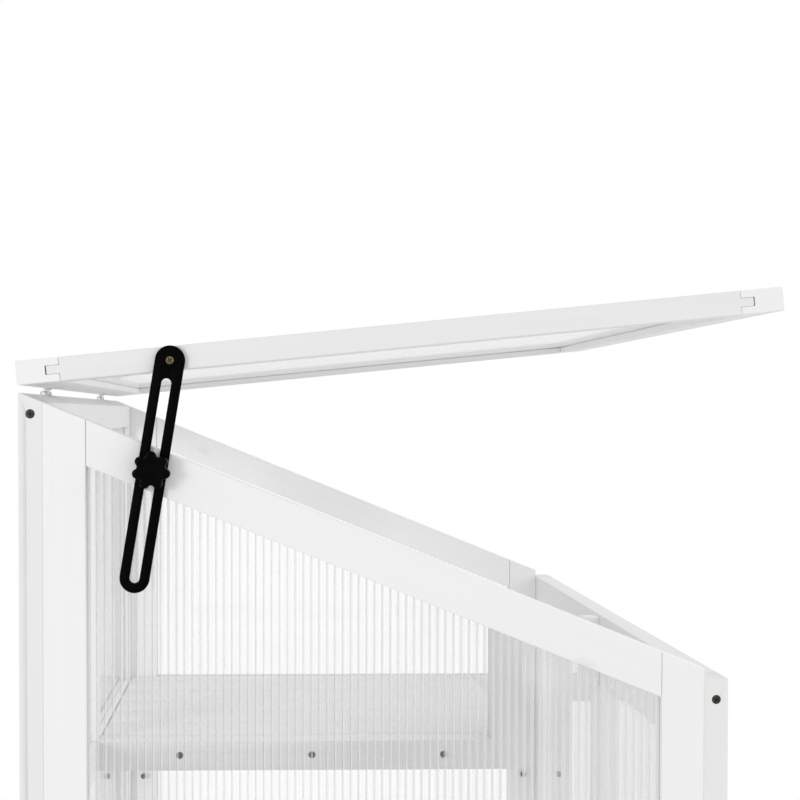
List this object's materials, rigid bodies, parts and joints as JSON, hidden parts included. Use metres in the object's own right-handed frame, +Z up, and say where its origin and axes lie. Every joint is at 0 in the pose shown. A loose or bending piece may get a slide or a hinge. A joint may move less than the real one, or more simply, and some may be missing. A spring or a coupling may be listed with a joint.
{
  "type": "cold frame",
  "caption": "Tall white timber cold frame glazed with ribbed twin-wall sheet, with a lifting sloped lid held by a slotted stay and star knob, and double front doors.",
  "frame": {"origin": "centre of the rectangle that the four corner posts stand on, at ground level", "axes": "+Z up, -Y towards the doors, +X to the right seen from the front; the lid is held open at rest"},
  "size_m": [0.7159, 0.543, 1.2546],
  "materials": {
    "painted_timber": "white paint on planed softwood, satin",
    "shelf_timber": "thin white paint on sawn softwood slats",
    "twin_wall_sheet": "clear ribbed twin-wall polycarbonate",
    "black_steel": "black powder coat, fine texture",
    "black_plastic": "moulded black plastic, semi-gloss",
    "zinc_steel": "zinc-plated steel",
    "brass_screw": "yellow-passivated steel screw",
    "dark_screw": "dark recessed screw heads"
  },
  "bodies": {
    "frame": {"bottom_shelf_battens": "shelf_timber", "bottom_shelf_boards": "shelf_timber", "centre_tie": "painted_timber", "clamp_stud": "zinc_steel", "door_hinge_post_leaves": "zinc_steel", "door_stop": "painted_timber", "front_bottom_rail": "painted_timber", "front_left_post": "painted_timber", "front_right_post": "painted_timber", "front_top_rail": "painted_timber", "hinge_pins": "zinc_steel", "left_bottom_rail": "painted_timber", "left_front_stile": "painted_timber", "left_lower_sheet": "twin_wall_sheet", "left_middle_rail": "painted_timber", "left_rear_stile": "painted_timber", "left_top_rail": "painted_timber", "left_upper_sheet": "twin_wall_sheet", "lid_hinge_frame_leaves": "zinc_steel", "rear_bottom_rail": "painted_timber", "rear_centre_stile": "painted_timber", "rear_left_post": "painted_timber", "rear_lower_sheet": "twin_wall_sheet", "rear_middle_rail": "painted_timber", "rear_right_post": "painted_timber", "rear_top_rail": "painted_timber", "rear_upper_sheets": "twin_wall_sheet", "right_bottom_rail": "painted_timber", "right_front_stile": "painted_timber", "right_lower_sheet": "twin_wall_sheet", "right_middle_rail": "painted_timber", "right_rear_stile": "painted_timber", "right_top_rail": "painted_timber", "right_upper_sheet": "twin_wall_sheet", "shelf_bearer": "painted_timber", "shelf_hanger": "painted_timber", "top_shelf_battens": "shelf_timber", "top_shelf_boards": "shelf_timber", "wood_screws": "dark_screw"},
    "lid": {"lid_rear_rail": "painted_timber", "lid_front_rail": "painted_timber", "lid_left_rail": "painted_timber", "lid_right_rail": "painted_timber", "lid_sheet": "twin_wall_sheet", "lid_hinge_lid_leaves": "zinc_steel", "stay_pivot_screw": "brass_screw"},
    "stay": {"stay_bar": "black_steel"},
    "knob": {"star_knob": "black_plastic"},
    "left_door": {"left_door_stiles": "painted_timber", "left_door_rails": "painted_timber", "left_door_sheet": "twin_wall_sheet", "left_door_hinge_leaves": "zinc_steel", "left_door_knob": "painted_timber"},
    "right_door": {"right_door_stiles": "painted_timber", "right_door_rails": "painted_timber", "right_door_sheet": "twin_wall_sheet", "right_door_hinge_leaves": "zinc_steel", "right_door_knob": "painted_timber", "turn_button_screw": "brass_screw"},
    "button": {"turn_button": "painted_timber"}
  },
  "joints": [
    {"name": "lid_hinge", "type": "hinge", "parent": "frame", "child": "lid", "pos_m": [0, 0.2526, 1.1809], "axis": [-1, 0, 0], "range_deg": [-27.6, 46]},
    {"name": "stay_pivot", "type": "hinge", "parent": "lid", "child": "stay", "pos_m": [-0.35225, 0.14377, 1.20221], "axis": [-1, 0, 0], "range_deg": [-23.1, 13.9]},
    {"name": "knob_turn", "type": "hinge", "parent": "frame", "child": "knob", "pos_m": [-0.36, 0.15637, 1.12579], "axis": [-1, 0, 0], "range_deg": [-30, 360]},
    {"name": "left_door_hinge", "type": "hinge", "parent": "frame", "child": "left_door", "pos_m": [-0.319, -0.2526, 0.52], "axis": [0, 0, -1], "range_deg": [0, 170]},
    {"name": "right_door_hinge", "type": "hinge", "parent": "frame", "child": "right_door", "pos_m": [0.319, -0.2526, 0.52], "axis": [0, 0, 1], "range_deg": [0, 170]},
    {"name": "button_turn", "type": "hinge", "parent": "right_door", "child": "button", "pos_m": [0.016, -0.2535, 0.64], "axis": [0, -1, 0], "range_deg": [0, 90]}
  ],
  "couplings": [
    {"joint": "stay_pivot", "follows": "lid_hinge", "ratio": -0.5}
  ]
}
